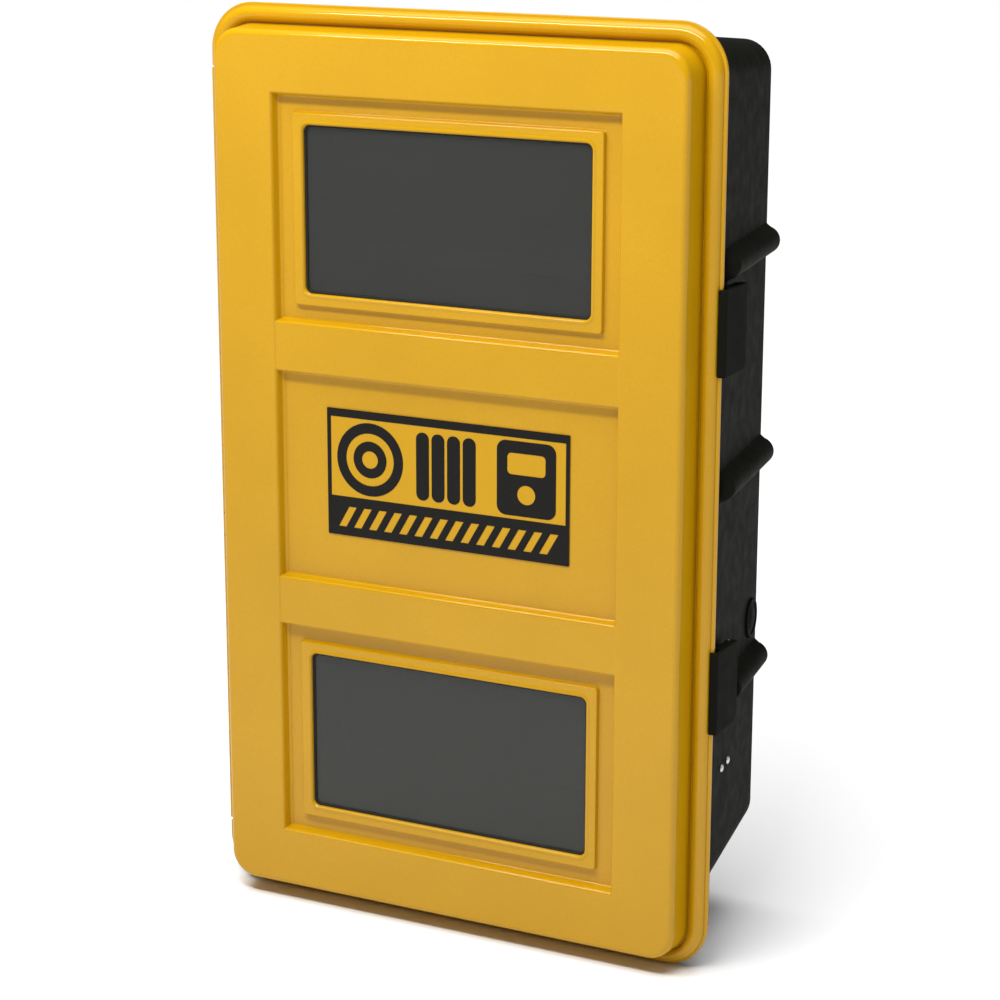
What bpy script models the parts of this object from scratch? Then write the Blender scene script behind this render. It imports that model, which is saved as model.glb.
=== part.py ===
"""Wall-mounted storage cabinet for a respirator, modelled piece by piece.

Frame: metres, +Z up, front towards -Y. The origin is on the flat back of the cabinet, which hangs on a
wall at y = 0, level with the middle of the door. Depth stations below are y values, so they are negative.
"""
import math

import bmesh
import bpy
from mathutils import Vector

# ---------------------------------------------------------------- driving dimensions
DEPTH = 0.223              # raised face of the door to the wall
RIM_HALF_W = 0.2727        # outer rim of the door
RIM_R = 0.047              # corner radius of the rim
PANEL_HALF_W = 0.2530      # foot of the raised panel's wall
HEAD = 0.1886              # the outline's half width to its top
FOOT = 0.1858              # and to its foot
PANEL_FOOT = 0.1905        # the raised panel reaches lower in the rim than it does at the top

FACE_Y = -DEPTH
FLOOR_Y = FACE_Y + 0.011   # floor of the three recesses
BEZEL_Y = FACE_Y + 0.006   # front of the window frames
WALL = 0.003               # moulded wall thickness
DOOR_BACK_Y = -0.184       # flat rear face of the door's rim
BODY_FRONT_Y = -0.1806     # front of the cabinet's mouth
MOUTH_T = 0.004            # thickness of the mouth's flange
GAP = 0.0003               # between pieces that touch

# Raised panel's recesses: half width, then lowest and highest z of each
RECESS_HALF_W = 0.187
RECESS_DRAFT = 0.002
RECESSES = {"upper": (0.1535, 0.381), "middle": (-0.1085, 0.1085), "lower": (-0.381, -0.1535)}

# Windows, as half sizes about their own centre
WINDOW_Z = 0.2672
WINDOW_HALF_W = 0.1535
WINDOW_HALF_H = 0.0823
BEZEL_MARGIN = 0.0135
PANE_T = 0.0025

# Cabinet body
BODY_HALF_W = 0.2443       # side wall at the back
BODY_TOP = 0.430           # top wall at the back
BODY_BOTTOM = -0.375       # bottom wall at the back
DRAFT = 0.134              # side walls open out towards the mouth, per metre of depth
DRAFT_ENDS = 0.10          # the same for the top and bottom walls
BODY_R = 0.0283            # corner radius at the back
MOUTH_HALF_W = 0.2703
MOUTH_R = 0.0445           # the flange's corners keep inside the rim's
MOUTH_INNER_HALF_W = 0.2515
MOUTH_INNER_R = 0.025
MOUTH_LIP = 0.0047         # how far the flange stands inside the top and bottom walls

RIB_Z = (0.238, 0.0262, -0.187)
RIB_OUT = 0.0165           # how far a rib stands out of the wall
RIB_HALF_H = 0.0136
RIB_START_Y = -0.174
RIB_BEHIND_LATCH_Y = -0.125

# Latches, on the right wall
LATCH_Z = {"upper": 0.1785, "lower": -0.1705}
LATCH_H = 0.0825
LATCH_FACE_X = 0.2784
LATCH_PLATE_T = 0.0035
LATCH_FRONT_Y = -0.1907
LATCH_REAR_Y = -0.138
LATCH_HOOK_X = 0.2698      # inner edge of the lip that hooks over the rim
LATCH_AXIS = (0.2705, -0.144)
LATCH_PIN_R = 0.0015

# Hinge, on the left edge
HINGE_AXIS = (-0.2732, -0.1821)
HINGE_HALF_L = 0.396
HINGE_R = 0.0025
HINGE_PIN_R = 0.001
LEAF_T = 0.0012
LEAF_INNER_X = -0.2607
LEAF_OUTER_X = -0.2699
HINGE_KNUCKLES = 12
LEAF_RIVET_X = -0.2655
LEAF_RIVET_Z = (-0.36, -0.18, 0.0, 0.18, 0.36)

SHELF_T = 0.004
SHELF_LIP = 0.014
SHELF_FRONT_Y = -0.173
SHELF_REAR_Y = -0.006

PLUG_Y, PLUG_Z, PLUG_R = -0.028, -0.143, 0.0205
SIDE_RIVET_Z = -0.266
SIDE_RIVET_Y = {"front": -0.1333, "rear": -0.1092}
WALL_HOLES = [(x, z) for x in (-0.19, 0.19) for z in (-0.235, 0.38)]
WALL_HOLE_R = 0.004
SIDE_RIVET_HOLE_R = 0.0023
LEAF_RIVET_HOLE_R = 0.0021
LATCH_KNUCKLE_R = 0.0036

# ---------------------------------------------------------------- materials
YELLOW = ("yellow_plastic", (0.80, 0.43, 0.035), 0.38, 0.0)
BLACK = ("black_plastic", (0.022, 0.023, 0.021), 0.5, 0.0)
RUBBER = ("rubber", (0.012, 0.012, 0.012), 0.75, 0.0)
PANE = ("tinted_pane", (0.06, 0.065, 0.062), 0.12, 0.0)
STEEL = ("steel", (0.55, 0.56, 0.57), 0.32, 1.0)
LABEL = ("label", (0.75, 0.42, 0.03), 0.45, 0.0)


def material(spec):
    """Principled material of one finish, made once per node."""
    name, colour, roughness, metallic = spec
    mat = bpy.data.materials.new(name)
    mat.use_nodes = True
    shader = mat.node_tree.nodes["Principled BSDF"]
    shader.inputs["Base Color"].default_value = (*colour, 1.0)
    shader.inputs["Roughness"].default_value = roughness
    shader.inputs["Metallic"].default_value = metallic
    return mat


# ---------------------------------------------------------------- mesh helpers
def make(name, bm, spec, parent=None, sharp_deg=35):
    """Turn a bmesh into a named object, with its origin on its parent's if it has one."""
    bmesh.ops.recalc_face_normals(bm, faces=bm.faces)
    mesh = bpy.data.meshes.new(name)
    bm.to_mesh(mesh)
    bm.free()
    mesh.shade_smooth()
    mesh.set_sharp_from_angle(angle=math.radians(sharp_deg))
    obj = bpy.data.objects.new(name, mesh)
    bpy.context.scene.collection.objects.link(obj)
    if spec:
        mesh.materials.append(material(spec))
    if parent:
        mesh.transform(parent.matrix_world.inverted())
        obj.parent = parent
    return obj


def rounded_rect(x0, x1, z0, z1, radius, y, steps=6):
    """Ring of points round a rectangle with round corners, in the plane of constant y."""
    ring = []
    corners = ((x1, z1, 0), (x0, z1, 90), (x0, z0, 180), (x1, z0, 270))
    for cx, cz, start in corners:
        inward_x = cx - math.copysign(radius, cx - (x0 + x1) / 2)
        inward_z = cz - math.copysign(radius, cz - (z0 + z1) / 2)
        for i in range(steps + 1):
            a = math.radians(start + 90 * i / steps)
            ring.append(Vector((inward_x + radius * math.cos(a), y, inward_z + radius * math.sin(a))))
    return ring


def rim_ring(half_w, y, radius, steps=6, foot=FOOT):
    """Ring that follows the door's outline, a set margin inside its rim."""
    return rounded_rect(-half_w, half_w, -half_w - foot, half_w + HEAD, radius, y, steps)


def loft(rings):
    """Closed solid through rings of equal length, capped at both ends."""
    bm = bmesh.new()
    loops = [[bm.verts.new(p) for p in ring] for ring in rings]
    for a, b in zip(loops, loops[1:]):
        for i in range(len(a)):
            j = (i + 1) % len(a)
            bm.faces.new((a[i], a[j], b[j], b[i]))
    bm.faces.new(loops[0])
    bm.faces.new(loops[-1])
    return bm


def box(x0, x1, y0, y1, z0, z1):
    """Plain block, as a bmesh."""
    corners = [(x0, y0), (x1, y0), (x1, y1), (x0, y1)]
    return loft([[Vector((x, y, z)) for x, y in corners] for z in (z0, z1)])


def prism(points, z0, z1):
    """Solid with an outline in x and y, from z0 up to z1."""
    return loft([[Vector((x, y, z)) for x, y in points] for z in (z0, z1)])


def turned(profile, centre, axis, steps=16):
    """Solid of revolution: profile is (radius, distance along axis), from one end to the other."""
    axis = Vector(axis).normalized()
    side = axis.orthogonal().normalized()
    other = axis.cross(side)
    rings = []
    for radius, along in profile:
        turn = [2 * math.pi * (i + 0.5) / steps for i in range(steps)]
        rings.append([Vector(centre) + axis * along + (side * math.cos(a) + other * math.sin(a)) * radius
                      for a in turn])
    return loft(rings)


def combine(obj, bm, operation):
    """Boolean an object with a bmesh solid, and apply it."""
    tool = make("tool", bm, None)
    modifier = obj.modifiers.new("combine", "BOOLEAN")
    modifier.operation = operation
    modifier.solver = "EXACT"
    modifier.object = tool
    bpy.context.view_layer.update()
    mesh = bpy.data.meshes.new_from_object(obj.evaluated_get(bpy.context.evaluated_depsgraph_get()))
    old = obj.data
    obj.modifiers.clear()
    obj.data = mesh
    mesh.name = obj.name
    bpy.data.meshes.remove(old)
    bpy.data.objects.remove(tool)
    mesh.shade_smooth()
    mesh.set_sharp_from_angle(angle=math.radians(35))


def cut(obj, *solids):
    for bm in solids:
        combine(obj, bm, "DIFFERENCE")


def join(obj, *solids):
    for bm in solids:
        combine(obj, bm, "UNION")


def pivot(name, location):
    """Empty on a joint's axis, which parents the pieces that turn there."""
    empty = bpy.data.objects.new(name, None)
    empty.location = location
    bpy.context.scene.collection.objects.link(empty)
    bpy.context.view_layer.update()
    return empty


# ---------------------------------------------------------------- door
def window_centre(which):
    return WINDOW_Z if which == "upper" else -WINDOW_Z


def window_ring(which, margin, y, radius=0.007, steps=4):
    """Ring round a window opening, grown by a margin."""
    z = window_centre(which)
    half_w, half_h = WINDOW_HALF_W + margin, WINDOW_HALF_H + margin
    return rounded_rect(-half_w, half_w, z - half_h, z + half_h, radius + max(margin, 0) * 0.3, y, steps)


def door_outside():
    """Rim, bead, groove and raised panel, from back to front, with parallel corners."""
    profile = [(RIM_HALF_W, DOOR_BACK_Y), (RIM_HALF_W, -0.1864), (RIM_HALF_W - 0.0005, -0.1869),
               (0.2696, -0.187),
               (0.2686, -0.1884), (0.2664, -0.1912), (0.2634, -0.1934), (0.2602, -0.1944), (0.2576, -0.194),
               (0.2558, -0.1922), (0.2548, -0.1896), (0.2540, -0.1878), (PANEL_HALF_W, -0.1878),
               (0.2524, -0.1895), (0.2506, -0.217), (0.2498, -0.220), (0.2476, -0.2223), (0.2442, FACE_Y)]
    rings = []
    for half_w, y in profile:
        margin = RIM_HALF_W - half_w
        foot = FOOT + (PANEL_FOOT - FOOT) * min(margin / (RIM_HALF_W - PANEL_HALF_W), 1)
        rings.append(rim_ring(half_w, y, RIM_R - margin * 0.9, 8, foot))
    return rings


def recess_rings(which, grow=0.0, front=FACE_Y - 0.002):
    """Tapering pocket of one recess; grow thickens it by a wall on every side."""
    z0, z1 = RECESSES[which]
    rings = []
    for inset, y in ((-grow, front), (-grow, FACE_Y), (RECESS_DRAFT - grow, FLOOR_Y + grow)):
        rings.append(rounded_rect(-RECESS_HALF_W + inset, RECESS_HALF_W - inset, z0 + inset, z1 - inset,
                                  0.003 + grow, y, 3))
    return rings


def bezel(which):
    """Raised frame round a window, standing on the recess floor."""
    steps = ((BEZEL_MARGIN, FLOOR_Y + 0.001), (BEZEL_MARGIN, BEZEL_Y + 0.0022),
             (BEZEL_MARGIN - 0.0013, BEZEL_Y + 0.0006), (BEZEL_MARGIN - 0.003, BEZEL_Y))
    return loft([window_ring(which, margin, y) for margin, y in steps])


def window_opening(which):
    """Bevelled opening, with a wider rebate behind it for the gasket."""
    steps = ((0.004, BEZEL_Y - 0.0015), (0.0025, BEZEL_Y), (0.0008, BEZEL_Y + 0.0012), (0.0, BEZEL_Y + 0.003),
             (0.0, BEZEL_Y + 0.0035), (0.0065, BEZEL_Y + 0.0035), (0.0065, FLOOR_Y + 0.01))
    return loft([window_ring(which, margin, y) for margin, y in steps])


def screw_places(which):
    z = window_centre(which)
    x = WINDOW_HALF_W + 0.0102
    return [(sx * x, z + sz * 0.045) for sx in (-1, 1) for sz in (-1, 1)]


def build_door(parent):
    door = make("door_shell", loft(door_outside()), YELLOW, parent)
    stations = ((0.2472, DOOR_BACK_Y + 0.002), (0.2472, -0.190), (0.2462, FACE_Y + WALL))
    hollow = make("hollow", loft([rim_ring(half_w, y, 0.024, foot=PANEL_FOOT) for half_w, y in stations]),
                  None, parent)
    cut(hollow, *[loft(recess_rings(which, WALL)) for which in RECESSES])
    hollow_mesh = bmesh.new()
    hollow_mesh.from_mesh(hollow.data)
    hollow_mesh.transform(parent.matrix_world)
    bpy.data.objects.remove(hollow)
    cut(door, hollow_mesh)
    cut(door, *[loft(recess_rings(which)) for which in RECESSES])
    for which in ("upper", "lower"):
        join(door, bezel(which))
        cut(door, window_opening(which))
        for x, z in screw_places(which):
            cut(door, turned([(0.0014, 0), (0.0014, 0.0056)], (x, FLOOR_Y + WALL - 0.0053, z), (0, 1, 0), 10))
    relief = HINGE_HALF_L + 0.002
    cut(door, box(-0.28, -0.2702, -0.1875, DOOR_BACK_Y + 0.001, -relief, relief))
    for z in LEAF_RIVET_Z:
        hole = [(LEAF_RIVET_HOLE_R, 0), (LEAF_RIVET_HOLE_R, 0.006)]
        cut(door, turned(hole, (LEAF_RIVET_X, DOOR_BACK_Y - 0.0052, z), (0, 1, 0), 10))
    return door


def ring_solid(name, outer, inner, spec, parent):
    """Frame between two lofts: the outer solid less the inner one."""
    frame = make(name, loft(outer), spec, parent)
    cut(frame, loft(inner))
    return frame


def build_window(which, parent):
    """Pane, the gasket round its edge, the retainer behind it and the retainer's screws."""
    front = BEZEL_Y + 0.0035 + GAP
    lip = 0.0012
    back = FLOOR_Y + WALL - GAP
    gasket_out = 0.0065 - GAP
    gasket = make(f"{which}_window_gasket", loft([window_ring(which, gasket_out, y) for y in (front, back)]),
                  RUBBER, parent)
    pane_front = front + lip + GAP
    seat = 0.0035
    cut(gasket, loft([window_ring(which, -0.0022, y, 0.0055) for y in (front - 0.001, pane_front)]))
    cut(gasket, loft([window_ring(which, seat, y, 0.006) for y in (pane_front - GAP, back + 0.001)]))
    pane = loft([window_ring(which, seat - GAP, y, 0.006) for y in (pane_front, pane_front + PANE_T)])
    make(f"{which}_window_pane", pane, PANE, parent)
    rear = FLOOR_Y + WALL + GAP
    retainer_t = 0.003
    retainer = ring_solid(f"{which}_window_retainer",
                          [window_ring(which, 0.0145, y) for y in (rear, rear + retainer_t)],
                          [window_ring(which, -0.002, y) for y in (rear - 0.001, rear + retainer_t + 0.001)],
                          BLACK, parent)
    tip_y = FLOOR_Y + WALL - 0.005
    head = rear + retainer_t + GAP - tip_y
    screw = [(0.0008, 0), (0.0011, 0.001), (0.0011, head), (0.003, head), (0.0024, head + 0.0016)]
    for number, (x, z) in enumerate(screw_places(which), 1):
        cut(retainer, turned([(0.0018, 0), (0.0018, 0.005)], (x, rear - 0.001, z), (0, 1, 0), 10))
        make(f"{which}_retainer_screw_{number}", turned(screw, (x, tip_y, z), (0, 1, 0), 10), STEEL, parent)


def build_label(parent):
    half_w, half_h, z = 0.1325, 0.0645, 0.008
    make("label_plate", loft([rounded_rect(-half_w, half_w, z - half_h, z + half_h, 0.001, y, 2)
                              for y in (FLOOR_Y - GAP, FLOOR_Y - GAP - 0.0005)]), LABEL, parent)


def build_seal(parent):
    ys = (DOOR_BACK_Y + GAP, BODY_FRONT_Y - GAP)
    ring_solid("door_seal", [rim_ring(0.2598, y, 0.032) for y in ys],
               [rim_ring(0.2525, y, 0.026) for y in (ys[0] - 0.001, ys[1] + 0.001)], RUBBER, parent)


# ---------------------------------------------------------------- hinge
def knuckle_spans(first):
    """z ranges of every second knuckle, with running clearance at each end."""
    pitch = 2 * HINGE_HALF_L / HINGE_KNUCKLES
    return [(-HINGE_HALF_L + i * pitch + 0.0003, -HINGE_HALF_L + (i + 1) * pitch - 0.0003)
            for i in range(first, HINGE_KNUCKLES, 2)]


def build_leaf(name, y0, first, parent):
    """Flat leaf with its own knuckles rolled round the pin."""
    ax, ay = HINGE_AXIS
    plate = box(LEAF_OUTER_X, LEAF_INNER_X, y0, y0 + LEAF_T, -HINGE_HALF_L, HINGE_HALF_L)
    leaf = make(name, plate, STEEL, parent)
    for z0, z1 in knuckle_spans(first):
        join(leaf, box(ax, LEAF_OUTER_X + 0.0005, y0, y0 + LEAF_T, z0, z1),
             turned([(HINGE_R, z0), (HINGE_R, z1)], (ax, ay, 0), (0, 0, 1), 12))
    cut(leaf, turned([(HINGE_PIN_R + 0.0002, -0.4), (HINGE_PIN_R + 0.0002, 0.4)], (ax, ay, 0), (0, 0, 1), 10))
    for z in LEAF_RIVET_Z:
        cut(leaf, turned([(0.0022, 0), (0.0022, 0.004)], (LEAF_RIVET_X, y0 - 0.001, z), (0, 1, 0), 10))
    return leaf


def build_hinge(door_pivot):
    ax, ay = HINGE_AXIS
    door_leaf_y = DOOR_BACK_Y + GAP
    body_leaf_y = BODY_FRONT_Y - GAP - LEAF_T
    build_leaf("hinge_leaf_door", door_leaf_y, 1, door_pivot)
    build_leaf("hinge_leaf_body", body_leaf_y, 0, None)
    make("hinge_pin", turned([(HINGE_PIN_R, -HINGE_HALF_L), (HINGE_PIN_R, HINGE_HALF_L)], (ax, ay, 0),
                             (0, 0, 1), 10), STEEL)
    for number, z in enumerate(LEAF_RIVET_Z, 1):
        make(f"door_hinge_rivet_{number}",
             turned([(0.0018, 0), (0.0018, 0.0059)], (LEAF_RIVET_X, DOOR_BACK_Y - 0.0049, z), (0, 1, 0), 10),
             STEEL, door_pivot)
        make(f"body_hinge_rivet_{number}",
             turned([(0.0018, 0), (0.0018, 0.0044)], (LEAF_RIVET_X, body_leaf_y + 0.0001, z), (0, 1, 0), 10),
             STEEL)


# ---------------------------------------------------------------- cabinet body
def side_x(y):
    """Outer half width of the deep body at depth y."""
    return BODY_HALF_W - DRAFT * y


def body_ring(y, inset=0.0, steps=6):
    radius = BODY_R - 0.06 * y - inset
    return rounded_rect(-side_x(y) + inset, side_x(y) - inset, BODY_BOTTOM + DRAFT_ENDS * y + inset,
                        BODY_TOP - DRAFT_ENDS * y - inset, radius, y, steps)


def rib_solid(side, z, start, trim):
    """Half-round rib along one side wall; trim shrinks it to make the channel inside."""
    taper = 0.0065 if start == RIB_BEHIND_LATCH_Y else 0.018
    stations = [(start, 0.35), (start + taper * 0.25, 0.62), (start + taper * 0.6, 0.88),
                (start + taper, 1.0),
                (-0.007, 1.0), (-0.0035, 0.93), (-0.0015, 0.82), (-0.0006, 0.6)]
    if trim:
        stations = [(start + taper, 0.8), (start + taper + 0.004, 1.0), (-0.009, 1.0), (-0.006, 0.9)]
    inward = 0.7 if trim else 0.35
    rings = []
    for y, scale in stations:
        x = side_x(y) - 0.0005
        out, half = (RIB_OUT - trim) * scale, (RIB_HALF_H - trim) * scale
        turn = [2 * math.pi * (i + 0.5) / 20 for i in range(20)]
        rings.append([Vector((side * (x + out * math.cos(a) * (1 if math.cos(a) > 0 else inward)), y,
                              z + half * math.sin(a))) for a in turn])
    return loft(rings)


def rib_places():
    for side in (-1, 1):
        for z in RIB_Z:
            behind_latch = side == 1 and z == RIB_Z[2]
            yield side, z, (RIB_BEHIND_LATCH_Y if behind_latch else RIB_START_Y)


def build_body():
    mouth_back = BODY_FRONT_Y + MOUTH_T
    body = make("cabinet_body", loft([rim_ring(MOUTH_HALF_W, BODY_FRONT_Y, MOUTH_R, 8),
                                      rim_ring(MOUTH_HALF_W, mouth_back, MOUTH_R, 8)]), BLACK)
    join(body, loft([body_ring(y) for y in (mouth_back - 0.001, -0.005)]
                    + [body_ring(-0.0015, 0.0015), body_ring(0.0, 0.005)]))
    join(body, *[rib_solid(side, z, start, 0.0) for side, z, start in rib_places()])
    lip = WALL + MOUTH_LIP
    mouth_low = BODY_BOTTOM + DRAFT_ENDS * mouth_back + lip
    mouth_high = BODY_TOP - DRAFT_ENDS * mouth_back - lip
    cut(body, loft([body_ring(mouth_back + 0.00005, WALL), body_ring(-WALL, WALL)]),
        loft([rounded_rect(-MOUTH_INNER_HALF_W, MOUTH_INNER_HALF_W, mouth_low, mouth_high, MOUTH_INNER_R, y)
              for y in (BODY_FRONT_Y - 0.001, mouth_back + 0.001)]))
    cut(body, *[rib_solid(side, z, start, WALL) for side, z, start in rib_places()])
    cut(body, *[turned([(WALL_HOLE_R, 0), (WALL_HOLE_R, 0.008)], (x, -0.006, z), (0, 1, 0), 12)
                for x, z in WALL_HOLES])
    leaf_hole = [(LEAF_RIVET_HOLE_R, 0), (LEAF_RIVET_HOLE_R, 0.0053)]
    cut(body, *[turned(leaf_hole, (LEAF_RIVET_X, BODY_FRONT_Y - 0.002, z), (0, 1, 0), 10)
                for z in LEAF_RIVET_Z])
    cut(body, turned([(PLUG_R - 0.003, -0.01), (PLUG_R - 0.003, 0.006)], *wall_spot(PLUG_Y, PLUG_Z), 20))
    side_hole = [(SIDE_RIVET_HOLE_R, -0.01), (SIDE_RIVET_HOLE_R, 0.006)]
    for y in SIDE_RIVET_Y.values():
        cut(body, turned(side_hole, *wall_spot(y, SIDE_RIVET_Z), 10))
    for which in LATCH_Z:
        for y, z in latch_rivet_places(which):
            cut(body, turned([(SIDE_RIVET_HOLE_R, -0.01), (SIDE_RIVET_HOLE_R, 0.006)], *wall_spot(y, z), 10))
    return body


def wall_spot(y, z):
    """A point on the right wall's outer face, and the wall's outward normal there."""
    return (side_x(y), y, z), (1.0, DRAFT, 0.0)


def build_rivet(name, y, z, skin, inner):
    """Domed rivet through the right wall: skin is the thickness outside the wall, inner the one inside it."""
    tail = -(WALL + inner + GAP)
    head = skin + GAP
    profile = [(0.0026, tail - 0.0012), (0.0034, tail), (0.0019, tail), (0.0019, head), (0.004, head),
               (0.0037, head + 0.0008), (0.0028, head + 0.0015), (0.0014, head + 0.0019)]
    make(name, turned(profile, *wall_spot(y, z), 12), STEEL)


def build_side_fittings():
    """Plug and the pair of rivets on the right wall, with the strip that backs the rivets."""
    r = PLUG_R
    profile = [(r - 0.0045, -0.0062), (r - 0.001, -0.0048), (r - 0.0035, -WALL - 0.0004),
               (r - 0.0035, 0.0003),
               (r, 0.0003), (r, 0.0016), (r - 0.001, 0.0024), (r - 0.003, 0.0024), (r - 0.004, 0.0012),
               (r - 0.0075, 0.0012), (r - 0.009, 0.0022), (0.004, 0.0028)]
    make("blanking_plug", turned(profile, *wall_spot(PLUG_Y, PLUG_Z), 24), BLACK)
    strip_t = 0.002
    y0, y1 = SIDE_RIVET_Y["front"] - 0.011, SIDE_RIVET_Y["rear"] + 0.011
    outline = [(side_x(y) - d, y) for y, d in ((y0, WALL + GAP), (y1, WALL + GAP), (y1, WALL + GAP + strip_t),
                                               (y0, WALL + GAP + strip_t))]
    strip = make("rivet_backing_strip", prism(outline, SIDE_RIVET_Z - 0.008, SIDE_RIVET_Z + 0.008), STEEL)
    strip_hole = [(SIDE_RIVET_HOLE_R, -0.02), (SIDE_RIVET_HOLE_R, 0.006)]
    for end, y in SIDE_RIVET_Y.items():
        cut(strip, turned(strip_hole, *wall_spot(y, SIDE_RIVET_Z), 10))
        build_rivet(f"side_rivet_{end}", y, SIDE_RIVET_Z, 0.0, GAP + strip_t)


def shelf_edge(side, z_rib):
    """Side edge of a shelf, front to back: its tab reaches into the rib's channel where there is one."""
    start = RIB_BEHIND_LATCH_Y if (side == 1 and z_rib == RIB_Z[2]) else RIB_START_Y
    clear, reach = -WALL - 0.001, -WALL + 0.0022
    tab_front, tab_rear = start + 0.028, -0.014
    places = [(SHELF_FRONT_Y, clear), (tab_front, clear), (tab_front, reach), (tab_rear, reach),
              (tab_rear, clear),
              (SHELF_REAR_Y, clear)]
    return [(side * (side_x(y) + d), y) for y, d in places]


def build_shelf(which, z_rib):
    """Flat shelf that lies in a pair of rib channels, with a front edge turned down."""
    bottom = z_rib - 0.0092
    outline = shelf_edge(1, z_rib) + shelf_edge(-1, z_rib)[::-1]
    shelf = make(f"{which}_shelf", prism(outline, bottom, bottom + SHELF_T), BLACK)
    half_w = side_x(SHELF_FRONT_Y) - WALL - 0.004
    join(shelf, box(-half_w, half_w, SHELF_FRONT_Y, SHELF_FRONT_Y + WALL, bottom - SHELF_LIP, bottom + 0.001))


# ---------------------------------------------------------------- latches
def latch_rivet_places(which):
    return [(-0.162, LATCH_Z[which] + dz) for dz in (-0.0165, 0.0165)]


def build_latch_lever(which, parent):
    """L-shaped plate with closed ends: its lip hooks over the rim, and it turns on the pin at its rear."""
    z = LATCH_Z[which]
    low, high = z - LATCH_H / 2, z + LATCH_H / 2
    inner_x = LATCH_FACE_X - LATCH_PLATE_T
    lip_back = LATCH_FRONT_Y + 0.0034
    r = 0.0015
    outline = [(LATCH_HOOK_X, LATCH_FRONT_Y + 0.0008), (LATCH_HOOK_X + 0.0008, LATCH_FRONT_Y),
               (LATCH_FACE_X - r, LATCH_FRONT_Y), (LATCH_FACE_X - r * 0.3, LATCH_FRONT_Y + r * 0.3),
               (LATCH_FACE_X, LATCH_FRONT_Y + r),
               (LATCH_FACE_X, LATCH_REAR_Y - r), (LATCH_FACE_X - r, LATCH_REAR_Y),
               (inner_x, LATCH_REAR_Y), (inner_x, lip_back), (LATCH_HOOK_X, lip_back)]
    lever = make(f"{which}_latch_lever", prism(outline, low, high), BLACK, parent)
    cheek_x, cheek_y, cheek_t = 0.2686, -0.175, 0.003
    for z0 in (low, high - cheek_t):
        join(lever, box(cheek_x, inner_x + 0.001, cheek_y, LATCH_REAR_Y - 0.001, z0, z0 + cheek_t))
    for z0, z1 in ((low + 0.001, z - 0.0183), (z + 0.0183, high - 0.001)):
        join(lever, turned([(LATCH_KNUCKLE_R, z0), (LATCH_KNUCKLE_R, z1)], (*LATCH_AXIS, 0), (0, 0, 1), 12),
             box(LATCH_AXIS[0], inner_x + 0.001, LATCH_AXIS[1] - 0.0034, LATCH_AXIS[1] + 0.0034, z0, z1))
    cut(lever, turned([(LATCH_PIN_R + 0.0002, low - 0.01), (LATCH_PIN_R + 0.0002, high + 0.01)],
                      (*LATCH_AXIS, 0), (0, 0, 1), 10))


def build_latch_base(which):
    """Plate on the wall with the middle knuckle, its pin and its two rivets."""
    z = LATCH_Z[which]
    half = 0.036
    plate_t = 0.0022
    front, rear = -0.1735, -0.1415
    outline = [(side_x(y) + d, y) for y, d in ((front, GAP), (rear, GAP), (rear, GAP + plate_t),
                                               (front, GAP + plate_t))]
    base = make(f"{which}_latch_base", prism(outline, z - half, z + half), BLACK)
    ax, ay = LATCH_AXIS
    join(base, box(side_x(ay) + GAP + 0.001, ax, ay - 0.0034, ay + 0.002, z - 0.018, z + 0.018),
         turned([(LATCH_KNUCKLE_R, z - 0.018), (LATCH_KNUCKLE_R, z + 0.018)], (ax, ay, 0), (0, 0, 1), 12))
    cut(base, turned([(LATCH_PIN_R + 0.0002, z - 0.05), (LATCH_PIN_R + 0.0002, z + 0.05)], (ax, ay, 0),
                     (0, 0, 1), 10))
    for number, (y, rivet_z) in enumerate(latch_rivet_places(which), 1):
        cut(base, turned([(SIDE_RIVET_HOLE_R, -0.01), (SIDE_RIVET_HOLE_R, 0.01)], *wall_spot(y, rivet_z), 10))
        build_rivet(f"{which}_latch_rivet_{number}", y, rivet_z, GAP + plate_t, 0.0)
    end = LATCH_H / 2
    make(f"{which}_latch_pin", turned([(LATCH_PIN_R, z - end), (LATCH_PIN_R, z + end)], (ax, ay, 0),
                                      (0, 0, 1), 10), STEEL)


# ---------------------------------------------------------------- assembly
def main():
    for obj in list(bpy.data.objects):
        bpy.data.objects.remove(obj, do_unlink=True)
    build_body()
    build_side_fittings()
    build_shelf("upper", RIB_Z[0])
    build_shelf("lower", RIB_Z[2])
    door_pivot = pivot("door_axis", (*HINGE_AXIS, 0))
    build_door(door_pivot)
    for which in ("upper", "lower"):
        build_window(which, door_pivot)
    build_label(door_pivot)
    build_seal(door_pivot)
    build_hinge(door_pivot)
    for which in LATCH_Z:
        latch_pivot = pivot(f"{which}_latch_axis", (*LATCH_AXIS, LATCH_Z[which]))
        build_latch_lever(which, latch_pivot)
        build_latch_base(which)


main()
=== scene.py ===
"""Looks of a wall-mounted respirator storage cabinet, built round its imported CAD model.

Metres, in the model's own frame: the flat back is on the wall at y = 0, the door faces -Y and the latches
are at +X. Pieces take their places from the CAD nodes that they stand for, and from the sizes below.
"""
import math

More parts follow.
